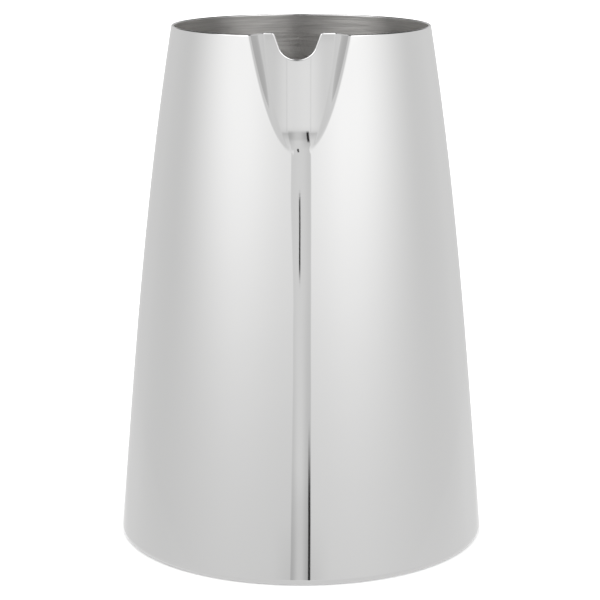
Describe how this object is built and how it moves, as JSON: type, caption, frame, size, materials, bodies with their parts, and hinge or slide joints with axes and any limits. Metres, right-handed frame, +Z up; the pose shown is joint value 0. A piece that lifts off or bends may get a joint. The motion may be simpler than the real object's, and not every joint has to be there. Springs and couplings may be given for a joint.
{
  "type": "mixing glass",
  "caption": "Polished steel mixing vessel, wide at the base and narrower at the mouth, with bowed sides and a notched pouring spout pulled out of the wall.",
  "frame": {"origin": "centre of the ring that the vessel stands on, on the table's surface", "axes": "+Z up along the vessel's axis, the spout points to -Y, +X to the right as seen from the spout's side"},
  "size_m": [0.0998, 0.1, 0.1412],
  "materials": {
    "polished_steel": "mirror-polished stainless steel outside, fine circular brushing inside",
    "brushed_steel": "stainless steel with fine circular brushing"
  },
  "bodies": {
    "root": {"body_wall": "polished_steel", "bottom_plate": "brushed_steel"}
  },
  "joints": []
}
